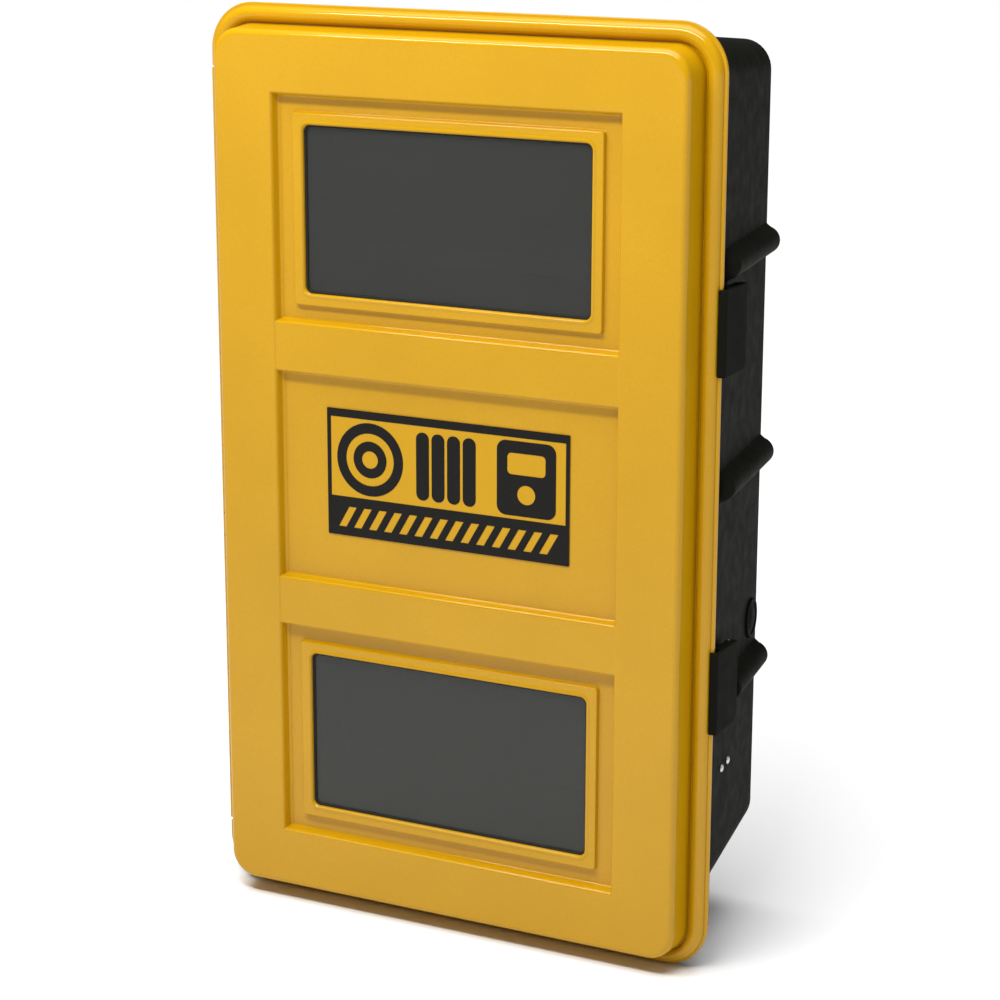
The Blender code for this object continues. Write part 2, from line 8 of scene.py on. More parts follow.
import bmesh
import bpy
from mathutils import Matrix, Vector


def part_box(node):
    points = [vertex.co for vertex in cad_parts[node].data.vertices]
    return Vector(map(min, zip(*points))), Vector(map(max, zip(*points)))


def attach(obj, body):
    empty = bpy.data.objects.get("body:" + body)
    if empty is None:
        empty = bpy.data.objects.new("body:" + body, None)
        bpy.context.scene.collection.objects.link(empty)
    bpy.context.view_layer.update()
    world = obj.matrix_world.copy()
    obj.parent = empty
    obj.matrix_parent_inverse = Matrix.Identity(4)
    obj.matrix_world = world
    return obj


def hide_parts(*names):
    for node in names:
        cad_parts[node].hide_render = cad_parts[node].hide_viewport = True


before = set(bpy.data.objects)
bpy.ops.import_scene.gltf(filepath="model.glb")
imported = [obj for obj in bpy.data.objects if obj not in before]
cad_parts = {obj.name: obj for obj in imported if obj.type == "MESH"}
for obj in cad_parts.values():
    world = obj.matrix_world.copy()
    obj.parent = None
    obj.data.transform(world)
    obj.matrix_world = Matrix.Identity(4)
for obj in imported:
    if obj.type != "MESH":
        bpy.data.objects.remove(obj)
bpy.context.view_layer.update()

# ---------------------------------------------------------------- sizes
GAP = 0.0003
WALL = 0.003

door_low, door_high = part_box("door_shell")
FACE_Y, DOOR_BACK_Y = door_low.y, door_high.y
RIM_HALF_W = door_high.x
RIM_R = 0.047
PANEL_SHIFT = 0.0047       # the raised panel reaches this much lower than a parallel margin would
GROOVE_MARGIN = 0.0197     # foot of the raised panel's wall, inside the rim
FACE_MARGIN = 0.0285       # edge of the flat face, inside the rim

RECESS_HALF_W = 0.187
RECESS_DEPTH = 0.011
RAIL_DROP = 0.0012         # the rails between the recesses lie a little behind the face
RECESS_EDGE_R = 0.0028
RECESS_CORNER_R = 0.0022
RECESSES = ((0.1535, 0.381), (-0.1085, 0.1085), (-0.381, -0.1535))
FLOOR_Y = FACE_Y + RECESS_DEPTH

WINDOW_HALF_W, WINDOW_HALF_H, WINDOW_Z = 0.1535, 0.0823, 0.2672
WINDOW_R = 0.007
BEZEL_RISE = 0.005
BEZEL_MARGIN = 0.0135
BEZEL_EDGE_R = 0.0014
BEZEL_R = 0.0055
BEZEL_Y = FLOOR_Y - BEZEL_RISE

MOUTH_FRONT_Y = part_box("cabinet_body")[0].y
MOUTH_T = 0.004
MOUTH_HALF_W, MOUTH_R = 0.2703, 0.0445
MOUTH_INNER_HALF_W, MOUTH_INNER_R = 0.2515, 0.025
BODY_HALF_W, BODY_TOP, BODY_BOTTOM = 0.2443, 0.430, -0.375
DRAFT, DRAFT_ENDS = 0.134, 0.10
BODY_R, BODY_R_GROWTH = 0.0283, 0.06
BODY_BACK_R = 0.005
MOUTH_LIP = 0.0047
RIB_Z = (-0.187, 0.0262, 0.238)
RIB_OUT, RIB_HALF_H, RIB_FILLET = 0.0150, 0.0136, 0.0035
RIB_START_Y, RIB_TAPER = -0.174, 0.013
SHORT_RIB_START_Y, SHORT_RIB_TAPER = -0.125, 0.0065
RIB_REAR_R = 0.009
WALL_HOLE_X, WALL_HOLE_Z, WALL_HOLE_R = 0.19, (-0.235, 0.38), 0.004

STEP_LEAN = math.radians(80)    # slope of the moulded steps' walls
LABEL_T, ICON_SIZE = 0.00035, 0.037
LEAF_T = 0.0012
LEAF_INNER_X, LEAF_OUTER_X = -0.2607, -0.2699
HINGE_KNUCKLES, HINGE_R, HINGE_PIN_R = 33, 0.0025, 0.0010
LATCH_PLATE_T, LATCH_LIP_T, LATCH_CHEEK_T = 0.0035, 0.0034, 0.003
LATCH_LIP_X, LATCH_CHEEK_X, LATCH_CHEEK_FRONT_Y = 0.2698, 0.2686, -0.175
LATCH_LUG_R, LATCH_PIN_HOLE_R = 0.0036, 0.0017
PLUG_Y, PLUG_Z, PLUG_R = -0.028, -0.143, 0.0205
SEAL_OUTER_HALF_W, SEAL_INNER_HALF_W, SEAL_R = 0.2598, 0.2525, 0.032


# ---------------------------------------------------------------- meshes
def rounded_rect(half_w, low, high, radius, y, steps=10):
    """Ring of points round a rectangle with round corners, centred on x = 0, at depth y."""
    ring = []
    for side, level, start in ((1, high, 0), (-1, high, 90), (-1, low, 180), (1, low, 270)):
        centre_x = side * (half_w - radius)
        centre_z = level - math.copysign(radius, level - (low + high) / 2)
        for i in range(steps + 1):
            a = math.radians(start + 90 * i / steps)
            ring.append(Vector((centre_x + radius * math.cos(a), y, centre_z + radius * math.sin(a))))
    return ring


def loft(rings, closed=False):
    """Solid through rings of equal length, capped at its ends, or closed on itself as a hoop."""
    bm = bmesh.new()
    add_loft(bm, rings, closed)
    return bm


def add_loft(bm, rings, closed=False, caps=True):
    loops = [[bm.verts.new(p) for p in ring] for ring in rings]
    pairs = list(zip(loops, loops[1:])) + ([(loops[-1], loops[0])] if closed else [])
    for a, b in pairs:
        for i in range(len(a)):
            j = (i + 1) % len(a)
            bm.faces.new((a[i], a[j], b[j], b[i]))
    if caps and not closed:
        bm.faces.new(loops[0])
        bm.faces.new(loops[-1])
    return loops


def block(x0, x1, y0, y1, z0, z1):
    corners = ((x0, y0), (x1, y0), (x1, y1), (x0, y1))
    return loft([[Vector((x, y, z)) for x, y in corners] for z in (z0, z1)])


def turned(profile, centre, axis, steps=32):
    """Solid of revolution: profile is (radius, distance along the axis) from one end to the other."""
    axis = Vector(axis).normalized()
    side = axis.orthogonal().normalized()
    other = axis.cross(side)
    turn = [2 * math.pi * i / steps for i in range(steps)]
    return loft([[Vector(centre) + axis * along + (side * math.cos(a) + other * math.sin(a)) * radius
                  for a in turn] for radius, along in profile])


def arc(centre_u, centre_v, radius, start_deg, end_deg, steps=6):
    """Points of an arc in a profile's own two directions."""
    angles = [math.radians(start_deg + (end_deg - start_deg) * i / steps) for i in range(steps + 1)]
    return [(centre_u + radius * math.cos(a), centre_v + radius * math.sin(a)) for a in angles]


def piece(name, bm, body=None, finish=None, nodes=(), sharp_deg=40):
    """Finished object from a bmesh. It rides on a body, and stands for CAD nodes."""
    bmesh.ops.recalc_face_normals(bm, faces=bm.faces)
    mesh = bpy.data.meshes.new(name)
    bm.to_mesh(mesh)
    bm.free()
    obj = bpy.data.objects.new(name, mesh)
    bpy.context.scene.collection.objects.link(obj)
    if body:
        settle(obj, body, finish, nodes, sharp_deg)
    return obj


def settle(obj, body, finish, nodes=(), sharp_deg=40):
    """Give a piece its shading, its finish, the body it rides on and the CAD nodes it stands for."""
    mesh = obj.data
    mesh.shade_smooth()
    mesh.set_sharp_from_angle(angle=math.radians(sharp_deg))
    weighted = obj.modifiers.new("even_shading", "WEIGHTED_NORMAL")
    weighted.keep_sharp = True
    mesh.materials.clear()
    mesh.materials.append(finish.material)
    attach(obj, body)
    if nodes:
        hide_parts(*nodes)
    return obj


def combine(obj, bm, operation):
    """Boolean an object with a solid, and apply it."""
    tool = piece("tool", bm)
    modifier = obj.modifiers.new("combine", "BOOLEAN")
    modifier.operation = operation
    modifier.solver = "EXACT"
    modifier.object = tool
    bpy.context.view_layer.update()
    mesh = bpy.data.meshes.new_from_object(obj.evaluated_get(bpy.context.evaluated_depsgraph_get()))
    old = obj.data
    obj.modifiers.clear()
    obj.data = mesh
    bpy.data.meshes.remove(old)
    bpy.data.objects.remove(tool)


def cut(obj, *solids):
    for bm in solids:
        combine(obj, bm, "DIFFERENCE")


def join(obj, *solids):
    for bm in solids:
        combine(obj, bm, "UNION")


def eased(bm, width, segments=3):
    """The same solid with its sharp edges rounded."""
    bmesh.ops.recalc_face_normals(bm, faces=bm.faces)
    sharp = [e for e in bm.edges if e.is_manifold and e.calc_face_angle(0) > math.radians(40)]
    bmesh.ops.bevel(bm, geom=sharp, offset=width, segments=segments, profile=0.5, affect="EDGES",
                    clamp_overlap=True)
    return bm


def refined(node, name, body, finish, bevel):
    """Piece with a CAD node's shape and softened edges."""
    bm = bmesh.new()
    bm.from_mesh(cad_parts[node].data)
    bmesh.ops.remove_doubles(bm, verts=bm.verts, dist=1e-6)
    bmesh.ops.dissolve_limit(bm, angle_limit=math.radians(1), verts=bm.verts, edges=bm.edges)
    return piece(name, eased(bm, bevel), body, finish, (node,))


# ---------------------------------------------------------------- finishes
class Finish:
    """Procedural material round one Principled shader, with its patterns in metres on the piece itself."""

    def __init__(self, slot, name=None, **sockets):
        self.slot = slot
        self.material = bpy.data.materials.new(name or slot)
        self.material.use_nodes = True
        self.tree = self.material.node_tree
        self.shader = self.tree.nodes["Principled BSDF"]
        for socket, value in sockets.items():
            self.shader.inputs[socket.replace("_", " ")].default_value = value
        self.place = self.tree.nodes.new("ShaderNodeTexCoord").outputs["Object"]
        self.normal = None

    def new(self, kind, **inputs):
        made = self.tree.nodes.new(kind)
        for name, value in inputs.items():
            socket = made.inputs[name.replace("_", " ")]
            if isinstance(value, bpy.types.NodeSocket):
                self.tree.links.new(value, socket)
            else:
                socket.default_value = value
        return made

    def noise(self, size, detail=2.0, stretch=(1, 1, 1)):
        """Soft mottling whose patches are about size across, in metres."""
        place = self.new("ShaderNodeMapping", Vector=self.place, Scale=stretch).outputs["Vector"]
        return self.new("ShaderNodeTexNoise", Vector=place, Scale=1 / size, Detail=detail).outputs[0]

    def cells(self, size):
        """Distance inside rounded cells about size across, for a moulded grain."""
        return self.new("ShaderNodeTexVoronoi", Vector=self.place, Scale=1 / size).outputs["Distance"]

    def spread(self, value, low, high, start=0.3, end=0.7):
        made = self.new("ShaderNodeMapRange", Value=value, From_Min=start, From_Max=end,
                        To_Min=low, To_Max=high)
        return made.outputs["Result"]

    def blend(self, factor, first, second):
        made = self.tree.nodes.new("ShaderNodeMix")
        made.data_type = "RGBA"
        for index, value in ((0, factor), (6, first), (7, second)):
            if isinstance(value, bpy.types.NodeSocket):
                self.tree.links.new(value, made.inputs[index])
            else:
                made.inputs[index].default_value = value
        return made.outputs[2]

    def colour(self, value):
        self.tree.links.new(value, self.shader.inputs["Base Color"])

    def roughness(self, value):
        self.tree.links.new(value, self.shader.inputs["Roughness"])

    def bump(self, height, depth, strength=1.0):
        """Relief of a real depth in metres, laid over any relief already there."""
        made = self.new("ShaderNodeBump", Height=height, Distance=depth, Strength=strength)
        if self.normal:
            self.tree.links.new(self.normal, made.inputs["Normal"])
        self.normal = made.outputs["Normal"]
        self.tree.links.new(self.normal, self.shader.inputs["Normal"])


def yellow_plastic(slot="yellow_plastic", name=None):
    """Moulded yellow polymer: fine pebble grain, slight mottling, slow changes of gloss."""
    made = Finish(slot, name, IOR=1.5, Specular_IOR_Level=0.0, Coat_Weight=0.65, Coat_Roughness=0.11)
    patches = made.spread(made.noise(0.12, 3), 0, 1)
    tone = made.blend(patches, (0.505, 0.269, 0.002, 1), (0.541, 0.290, 0.003, 1))
    fleck = made.spread(made.noise(0.0016, 4), 0, 0.45, 0.45, 0.8)
    made.colour(made.blend(fleck, tone, (0.434, 0.223, 0.001, 1)))
    made.roughness(made.spread(made.noise(0.02, 4), 0.24, 0.33))
    made.bump(made.cells(0.0011), 0.00008, 0.45)
    made.bump(made.noise(0.0035, 2), 0.00018, 0.4)
    return made


def black_plastic():
    """Moulded black polymer: satin, with a leathery grain and faint scuffs."""
    made = Finish("black_plastic", IOR=1.5, Specular_IOR_Level=0.009)
    scuff = made.spread(made.noise(0.004, 5, (1, 0.4, 1)), 0, 0.3, 0.60, 0.85)
    patches = made.spread(made.noise(0.09, 3), 0, 1)
    tone = made.blend(patches, (0.0070, 0.0070, 0.0054, 1), (0.0100, 0.0097, 0.0073, 1))
    made.colour(made.blend(scuff, tone, (0.017, 0.016, 0.013, 1)))
    made.roughness(made.spread(made.noise(0.015, 4), 0.46, 0.58))
    made.bump(made.cells(0.0009), 0.00012, 0.6)
    made.bump(made.noise(0.006, 2), 0.00025, 0.4)
    return made


def shelf_plastic():
    """Grey moulded polymer with a fine even grain."""
    made = Finish("black_plastic", "shelf_plastic", IOR=1.5, Specular_IOR_Level=0.2)
    made.colour(made.blend(made.noise(0.05, 4), (0.16, 0.165, 0.155, 1), (0.21, 0.215, 0.20, 1)))
    made.roughness(made.spread(made.noise(0.01, 4), 0.42, 0.55))
    made.bump(made.noise(0.0015, 3), 0.00004, 0.4)
    return made


def rubber():
    """Matt black rubber of the seal and the gaskets."""
    made = Finish("rubber", IOR=1.5, Specular_IOR_Level=0.3)
    made.colour(made.blend(made.noise(0.005, 4), (0.008, 0.008, 0.008, 1), (0.018, 0.018, 0.017, 1)))
    made.roughness(made.spread(made.noise(0.003, 3), 0.62, 0.78))
    made.bump(made.noise(0.0006, 3), 0.00006, 0.6)
    return made


def tinted_pane():
    """Smoke-grey acrylic sheet that lets some light through, with a faint haze and dust."""
    made = Finish("tinted_pane", IOR=1.49, Alpha=0.70, Specular_IOR_Level=0.5)
    dust = made.spread(made.noise(0.006, 3), 0, 0.4, 0.55, 0.80)
    haze = made.blend(made.noise(0.16, 2), (0.020, 0.022, 0.018, 1), (0.028, 0.030, 0.025, 1))
    made.colour(made.blend(dust, haze, (0.042, 0.042, 0.038, 1)))
    made.roughness(made.spread(made.noise(0.03, 3), 0.07, 0.13))
    return made


def steel():
    """Zinc-plated steel: bright, faintly brushed and patchy."""
    made = Finish("steel", Metallic=1.0)
    made.colour(made.blend(made.noise(0.012, 4), (0.50, 0.51, 0.50, 1), (0.72, 0.72, 0.70, 1)))
    made.roughness(made.spread(made.noise(0.0012, 3, (1, 1, 0.08)), 0.22, 0.42))
    made.bump(made.noise(0.0008, 2, (1, 1, 0.08)), 0.00002, 0.5)
    return made


def label_film():
    """Yellow film of the label, which matches the door."""
    made = Finish("label", "label_film", IOR=1.5, Specular_IOR_Level=0.25)
    made.colour(made.blend(made.noise(0.05, 3), (0.505, 0.271, 0.003, 1), (0.541, 0.293, 0.004, 1)))
    made.roughness(made.spread(made.noise(0.01, 3), 0.30, 0.40))
    made.bump(made.noise(0.002, 2), 0.00003, 0.4)
    return made


def label_ink():
    """Black print on the label."""
    made = Finish("label", "label_ink", IOR=1.5, Specular_IOR_Level=0.12)
    made.colour(made.blend(made.noise(0.004, 4), (0.006, 0.006, 0.005, 1), (0.011, 0.010, 0.009, 1)))
    made.roughness(made.spread(made.noise(0.006, 4), 0.34, 0.48))
    made.bump(made.noise(0.0007, 2), 0.00002, 0.4)
    return made


def studio_floor():
    """Pale matt floor."""
    made = Finish("floor", "studio_floor", Specular_IOR_Level=0.2)
    made.colour(made.blend(made.noise(0.5, 2), (0.91, 0.91, 0.91, 1), (0.93, 0.93, 0.93, 1)))
    made.roughness(made.spread(made.noise(0.1, 2), 0.7, 0.8))
    return made


PAINTED = yellow_plastic("steel", "hinge_paint")
YELLOW, BLACK, RUBBER, PANE, STEEL = yellow_plastic(), black_plastic(), rubber(), tinted_pane(), steel()
FILM, INK, SHELF = label_film(), label_ink(), shelf_plastic()


# ---------------------------------------------------------------- door moulding
def outline(margin, y, radius=None):
    """The door's outline at a margin inside its rim, with parallel corners."""
    shift = PANEL_SHIFT * min(margin / GROOVE_MARGIN, 1)
    if radius is None:
        radius = RIM_R - margin * 0.9
    low, high = door_low.z + margin - shift, door_high.z - margin
    return rounded_rect(RIM_HALF_W - margin, low, high, radius, y, 12)


def door_front_profile():
    """(margin inside the rim, y) from the rim's back edge, over the bead and up the panel to its face."""
    strip_y, groove_y = DOOR_BACK_Y - 0.0030, DOOR_BACK_Y - 0.0038
    bead_mid, bead_half, bead_rise = 0.0109, 0.0078, 0.0073
    edge_r = 0.0062
    points = [(0.0, DOOR_BACK_Y), (0.0, strip_y + 0.0006), (0.0002, strip_y + 0.0002), (0.0006, strip_y),
              (0.0029, strip_y)]
    for i in range(1, 18):
        a = math.pi * i / 18
        points.append((bead_mid - bead_half * math.cos(a), strip_y - bead_rise * math.sin(a)))
    points += [(0.0188, groove_y), (GROOVE_MARGIN, groove_y), (0.0200, groove_y - 0.0012)]
    points += [(FACE_MARGIN - u, FACE_Y + edge_r - v) for u, v in arc(0, 0, edge_r, 4, 90, 9)]
    return points


def inside(x, z, half_w, low, high, radius):
    """Distance inside a rectangle with round corners, negative outside it."""
    across = abs(x) - half_w + radius
    up = abs(z - (low + high) / 2) - (high - low) / 2 + radius
    return radius - math.hypot(max(across, 0), max(up, 0)) - min(max(across, up), 0)


def step_width(fall, radius):
    """How far a moulded step with round edges reaches across while it falls."""
    straight = fall - 2 * radius * (1 - math.cos(STEP_LEAN))
    return 2 * radius * math.sin(STEP_LEAN) + straight / math.tan(STEP_LEAN)


def step(d, fall, radius):
    """How far a moulded step with round edges has fallen, d past its top edge."""
    width, run = step_width(fall, radius), radius * math.sin(STEP_LEAN)
    if d <= 0 or d >= width:
        return 0.0 if d <= 0 else fall
    if d < run:
        return radius - math.sqrt(radius ** 2 - d ** 2)
    if d > width - run:
        return fall - radius + math.sqrt(radius ** 2 - (width - d) ** 2)
    return radius * (1 - math.cos(STEP_LEAN)) + (d - run) * math.tan(STEP_LEAN)


def step_stations(fall, radius, steps=6):
    """Distances past the step's top edge at which its profile is sampled."""
    width = step_width(fall, radius)
    arcs = [radius * math.sin(STEP_LEAN * i / steps) for i in range(steps + 1)]
    return arcs + [width - d for d in reversed(arcs)]


def bezel_rise(within, margin):
    """Height of the window frame: within is measured from its outer edge, margin from the opening."""
    rise = step(within, BEZEL_RISE, BEZEL_EDGE_R)
    ridge_mid, ridge_half, ridge_rise = 0.0024, 0.0019, 0.0009
    if abs(margin - ridge_mid) < ridge_half:
        rise += ridge_rise * math.cos(math.pi / 2 * (margin - ridge_mid) / ridge_half) ** 2
    return rise


def front_depth(x, z):
    """Depth of the door's front surface behind its face."""
    panel = inside(x, z, RECESS_HALF_W, RECESSES[-1][0], RECESSES[0][1], RECESS_CORNER_R)
    level = min(step(panel, RECESS_DEPTH, RECESS_EDGE_R), RAIL_DROP)
    fall = RECESS_DEPTH - RAIL_DROP
    depth = level
    for low, high in RECESSES:
        d = inside(x, z, RECESS_HALF_W, low, high, RECESS_CORNER_R)
        if d > 0:
            depth = level + (RECESS_DEPTH - level) * step(d, fall, RECESS_EDGE_R) / fall
    for centre in (WINDOW_Z, -WINDOW_Z):
        margin = -inside(x, z, WINDOW_HALF_W, centre - WINDOW_HALF_H, centre + WINDOW_HALF_H, WINDOW_R)
        half_w, half_h = WINDOW_HALF_W + BEZEL_MARGIN, WINDOW_HALF_H + BEZEL_MARGIN
        within = inside(x, z, half_w, centre - half_h, centre + half_h, BEZEL_R)
        if within > 0:
            depth -= bezel_rise(within, margin)
    return depth


def back_depth(x, z):
    """Depth of the door's rear surface behind its face."""
    depth = WALL
    for low, high in RECESSES:
        d = inside(x, z, RECESS_HALF_W + WALL, low - WALL, high + WALL, RECESS_CORNER_R + WALL)
        depth += step(d, RECESS_DEPTH, RECESS_EDGE_R)
    return depth


def spaced(lines, widest):
    """Sorted lines, with more put in wherever two lie further apart than widest."""
    lines = sorted(lines)
    out = [lines[0]]
    for line in lines[1:]:
        gap = line - out[-1]
        if gap < 0.0001:
            continue
        parts = math.ceil(gap / widest)
        out += [out[-1] + gap * (i + 1) / parts for i in range(parts)]
    return out


def relief_lines(edges, windows, grow=0.0):
    """Grid lines for one direction: edges are (place, direction inward), windows are (centre, half size)."""
    fall = RECESS_DEPTH if grow else RECESS_DEPTH - RAIL_DROP
    stations = step_stations(fall, RECESS_EDGE_R)
    lines = [place - inward * (grow - d) for place, inward in edges for d in stations]
    if not grow:
        margins = [BEZEL_MARGIN - d for d in step_stations(BEZEL_RISE, BEZEL_EDGE_R)]
        margins += [0.0009 * i for i in range(-8, 13)]
        lines += [centre + side * (half + m)
                  for centre, half in windows for side in (-1, 1) for m in margins]
    return lines


def relief(bm, depth_at, xs, zs):
    """Grid of the moulded relief. Returns its boundary edges."""
    rows = [[bm.verts.new((x, FACE_Y + depth_at(x, z), z)) for x in xs] for z in zs]
    for low, high in zip(rows, rows[1:]):
        for i in range(len(xs) - 1):
            bm.faces.new((low[i], low[i + 1], high[i + 1], high[i]))
    rim = rows[0] + [row[-1] for row in rows[1:-1]] + rows[-1][::-1] + [row[0] for row in rows[-2:0:-1]]
    return [bm.edges.get((a, b)) for a, b in zip(rim, rim[1:] + rim[:1])]


def loop_edges(bm, loop):
    return [bm.edges.get((a, b)) for a, b in zip(loop, loop[1:] + loop[:1])]


def window_ring(centre, margin, y, radius=None):
    """Ring round a window's opening, at a margin outside it."""
    half_h = WINDOW_HALF_H + margin
    corner = WINDOW_R + max(margin, 0) * 0.3 if radius is None else radius
    return rounded_rect(WINDOW_HALF_W + margin, centre - half_h, centre + half_h, corner, y, 10)


def door_moulding():
    """The door: rim, bead, raised panel, recesses with rails between them, and the two window frames."""
    bm = bmesh.new()
    front = add_loft(bm, [outline(m, y) for m, y in door_front_profile()], caps=False)
    hollow_r = 0.024
    hollow = [(0.0255, DOOR_BACK_Y), (0.0255, FACE_Y + 0.030), (0.0265, FACE_Y + 0.008),
              (0.0272, FACE_Y + 0.0045), (0.0290, FACE_Y + WALL)]
    back = add_loft(bm, [outline(m, y, hollow_r) for m, y in hollow], caps=False)
    for i in range(len(front[0])):
        j = (i + 1) % len(front[0])
        bm.faces.new((front[0][i], front[0][j], back[0][j], back[0][i]))
    windows_x = ((0.0, WINDOW_HALF_W),)
    windows_z = ((WINDOW_Z, WINDOW_HALF_H), (-WINDOW_Z, WINDOW_HALF_H))
    edges_x = ((-RECESS_HALF_W, 1), (RECESS_HALF_W, -1))
    edges_z = [pair for low, high in RECESSES for pair in ((low, 1), (high, -1))]
    border, widest = 0.004, 0.025
    for depth_at, loop, grow in ((front_depth, front[-1], 0.0), (back_depth, back[-1], WALL)):
        half_w = RECESS_HALF_W + grow + border
        half_h = RECESSES[0][1] + grow + border
        xs = spaced(relief_lines(edges_x, windows_x, grow) + [-half_w, half_w], widest)
        zs = spaced(relief_lines(edges_z, windows_z, grow) + [-half_h, half_h], widest)
        edges = relief(bm, depth_at, xs, zs)
        bmesh.ops.triangle_fill(bm, use_beauty=True, edges=edges + loop_edges(bm, loop))
    door = piece("door_moulding", bm)
    for centre in (WINDOW_Z, -WINDOW_Z):
        rebate_y, rebate_margin = BEZEL_Y + 0.0035, 0.0065
        opening = ((0.0012, BEZEL_Y - 0.003), (0.0012, BEZEL_Y - 0.0002), (0.0004, BEZEL_Y + 0.0006),
                   (0.0, BEZEL_Y + 0.0015), (0.0, rebate_y), (rebate_margin, rebate_y),
                   (rebate_margin, FLOOR_Y + 0.010))
        cut(door, loft([window_ring(centre, m, y) for m, y in opening]))
    notch_half, notch_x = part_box("hinge_pin")[1].z + 0.002, LEAF_OUTER_X - GAP
    cut(door, block(-0.28, notch_x, DOOR_BACK_Y - 0.0035, DOOR_BACK_Y + 0.001, -notch_half, notch_half))
    settle(door, "door", YELLOW, ("door_shell",), 50)


# ---------------------------------------------------------------- cabinet body
def side_x(y):
    """Outer half width of the deep body at depth y."""
    return BODY_HALF_W - DRAFT * y


def rib_section():
    """(height from the middle, distance out of the wall) across a rib, with fillets at the wall."""
    crown_deg = 70
    crown = [(RIB_HALF_H * math.sin(a), RIB_OUT * math.cos(a))
             for a in (math.radians(crown_deg * i / 9) for i in range(-9, 10))]
    edge_h, edge_out = crown[-1]
    reach = RIB_HALF_H + RIB_FILLET - edge_h
    fillet = [(edge_h + reach * (1 - (1 - t) ** 2) * 0.5 + reach * t * 0.5, edge_out * (1 - t) ** 2)
              for t in (i / 5 for i in range(1, 6))]
    return [(-h, out) for h, out in reversed(fillet)] + crown + fillet


RIB_SECTION = rib_section()


def rib_size(side, rib_z, y):
    """Share of its full size that a rib has at depth y: it swells from its front and rounds off behind."""
    short = side == 1 and rib_z == RIB_Z[0]
    start, taper = (SHORT_RIB_START_Y, SHORT_RIB_TAPER) if short else (RIB_START_Y, RIB_TAPER)
    ahead = min(max((y - start) / taper, 0), 1)
    behind = min(max(-y / RIB_REAR_R, 0), 1)
    return math.sqrt(1 - (1 - ahead) ** 2) * (1 - (1 - behind) ** 2.6) ** 0.5


def side_points(side, y, inset, low, high):
    """(z, x) up one side of the body, over its three ribs. The inner skin's channels follow the ribs."""
    points = [(low, 0.0)]
    for rib_z in RIB_Z:
        size = rib_size(side, rib_z, y)
        width = max(size, 0.3) * (1 - inset / RIB_HALF_H)
        points += [(rib_z + h * width, out * size) for h, out in RIB_SECTION]
    points.append((high, 0.0))
    return [Vector((side * (side_x(y) - inset + out), y, z)) for z, out in points]


def body_ring(y, inset=0.0, back_round=0.0):
    """Outline of the deep body at depth y, counterclockwise from the right side's foot."""
    low = BODY_BOTTOM + DRAFT_ENDS * y + inset + back_round
    high = BODY_TOP - DRAFT_ENDS * y - inset - back_round
    radius = BODY_R - BODY_R_GROWTH * y - inset
    corners = rounded_rect(side_x(y) - inset - back_round, low, high, radius, y, 10)
    quarter = len(corners) // 4
    right = side_points(1, y, inset + back_round, low + radius, high - radius)
    left = side_points(-1, y, inset + back_round, low + radius, high - radius)
    return right[1:-1] + corners[:2 * quarter] + left[1:-1][::-1] + corners[2 * quarter:]


def body_stations(front, rear):
    """Depths where the deep body is sampled, closer together where a rib swells or ends."""
    stations = [front, rear]
    for start, taper in ((RIB_START_Y, RIB_TAPER), (SHORT_RIB_START_Y, SHORT_RIB_TAPER)):
        stations += [start + taper * (1 - math.cos(math.pi / 2 * i / 8)) for i in range(9)]
    stations += [-RIB_REAR_R * math.cos(math.pi / 2 * i / 8) for i in range(8)]
    return spaced([y for y in stations if front <= y <= rear], 0.03)


def deep_body(front_y):
    """Outside of the deep body, with a rounded edge round its back."""
    rings = [body_ring(y) for y in body_stations(front_y, -BODY_BACK_R)]
    for i in range(1, 7):
        a = math.pi / 2 * i / 6
        rings.append(body_ring(-BODY_BACK_R * (1 - math.sin(a)), 0.0, BODY_BACK_R * (1 - math.cos(a))))
    return loft(rings)


def mouth_outline(half_w, y, radius):
    """The cabinet's mouth follows the door's rim."""
    margin = RIM_HALF_W - half_w
    return rounded_rect(half_w, door_low.z + margin, door_high.z - margin, radius, y, 12)


def cabinet_body():
    """The black shell: deep box with moulded ribs, and a flange round its mouth like the door's rim."""
    flange_back, soft = MOUTH_FRONT_Y + MOUTH_T, 0.0009
    flange_edge = ((soft, MOUTH_FRONT_Y), (soft * 0.3, MOUTH_FRONT_Y + soft * 0.3), (0, MOUTH_FRONT_Y + soft),
                   (0, flange_back - soft), (soft * 0.3, flange_back - soft * 0.3), (soft, flange_back))
    body = piece("body_shell", loft([mouth_outline(MOUTH_HALF_W - d, y, MOUTH_R) for d, y in flange_edge]))
    join(body, deep_body(flange_back - 0.001))
    mouth_low = BODY_BOTTOM + DRAFT_ENDS * flange_back + WALL + MOUTH_LIP
    mouth_high = BODY_TOP - DRAFT_ENDS * flange_back - WALL - MOUTH_LIP
    cut(body, loft([body_ring(y, WALL) for y in body_stations(flange_back + 0.00005, -WALL)]),
        loft([rounded_rect(MOUTH_INNER_HALF_W, mouth_low, mouth_high, MOUTH_INNER_R, y, 12)
              for y in (MOUTH_FRONT_Y - 0.001, flange_back + 0.001)]))
    hole = [(WALL_HOLE_R, -0.006), (WALL_HOLE_R, -0.0008), (WALL_HOLE_R + 0.0012, 0.0005)]
    for x in (-WALL_HOLE_X, WALL_HOLE_X):
        for z in WALL_HOLE_Z:
            cut(body, turned(hole, (x, 0, z), (0, 1, 0), 32))
    settle(body, "cabinet", BLACK, ("cabinet_body",), 38)


